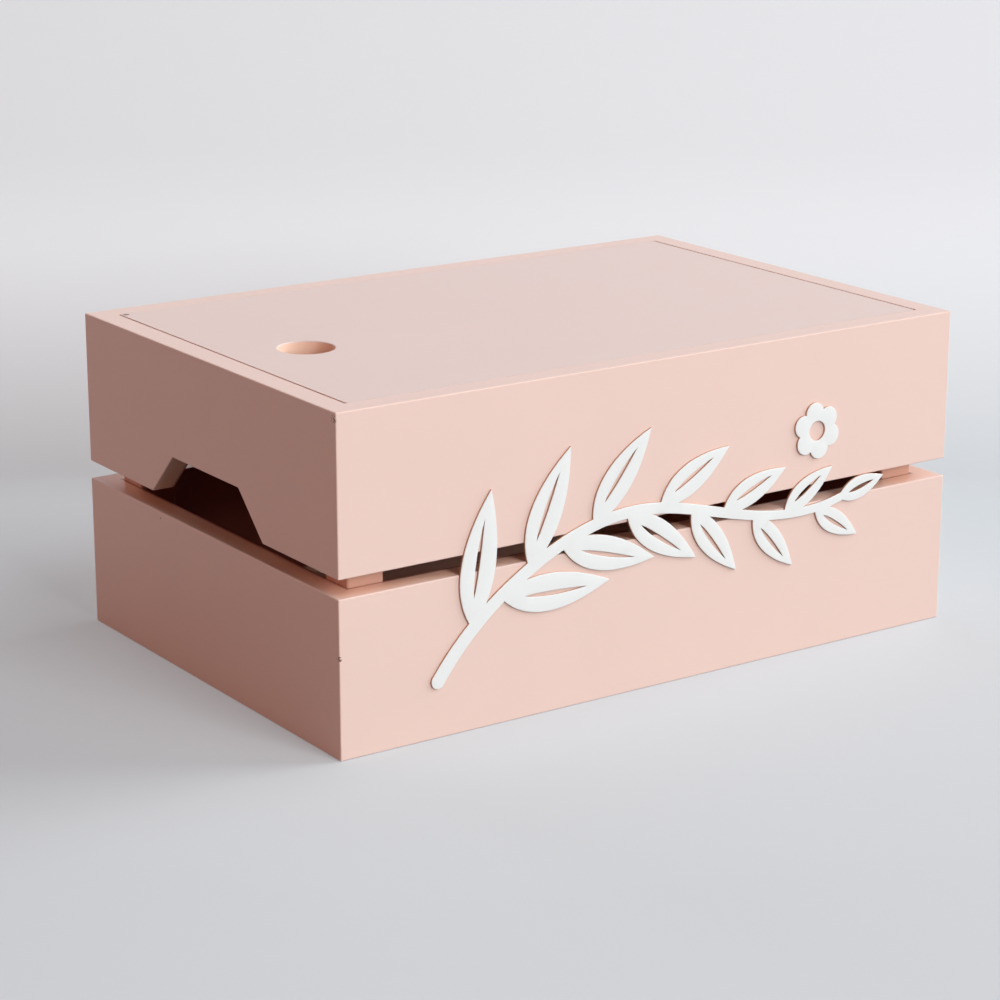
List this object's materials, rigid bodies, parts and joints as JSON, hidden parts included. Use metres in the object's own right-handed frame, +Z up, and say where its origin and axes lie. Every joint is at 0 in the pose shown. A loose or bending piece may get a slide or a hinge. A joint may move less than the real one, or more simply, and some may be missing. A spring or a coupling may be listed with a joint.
{
  "type": "keepsake box",
  "caption": "Crate-style keepsake box of painted boards in an upper and a lower band, with an open slot between them, hand-holds in the ends and a flush lift-off lid.",
  "frame": {"origin": "on the standing surface, under the middle of the four walls", "axes": "+X along the length, away from the finger hole; -Y towards the front with the flower and the branch; +Z up"},
  "size_m": [0.3, 0.201, 0.1345],
  "materials": {
    "pink_paint": "satin pink paint on board",
    "white_paint": "satin white paint on thin sheet",
    "brad_steel": "bright drawn steel"
  },
  "bodies": {
    "box": {"upper_front_board": "pink_paint", "upper_back_board": "pink_paint", "upper_left_end_board": "pink_paint", "upper_right_end_board": "pink_paint", "lower_front_board": "pink_paint", "lower_back_board": "pink_paint", "lower_left_end_board": "pink_paint", "lower_right_end_board": "pink_paint", "front_left_post": "pink_paint", "front_right_post": "pink_paint", "back_left_post": "pink_paint", "back_right_post": "pink_paint", "bottom_panel": "pink_paint", "upper_board_brads": "brad_steel", "lower_board_brads": "brad_steel", "bottom_panel_brads": "brad_steel", "branch_applique": "white_paint", "flower_applique": "white_paint"},
    "lid": {"lid_panel": "pink_paint"}
  },
  "joints": [
    {"name": "lid_lift", "type": "slide", "parent": "box", "child": "lid", "axis": [0, 0, 1], "range_m": [0, 0.1]}
  ]
}
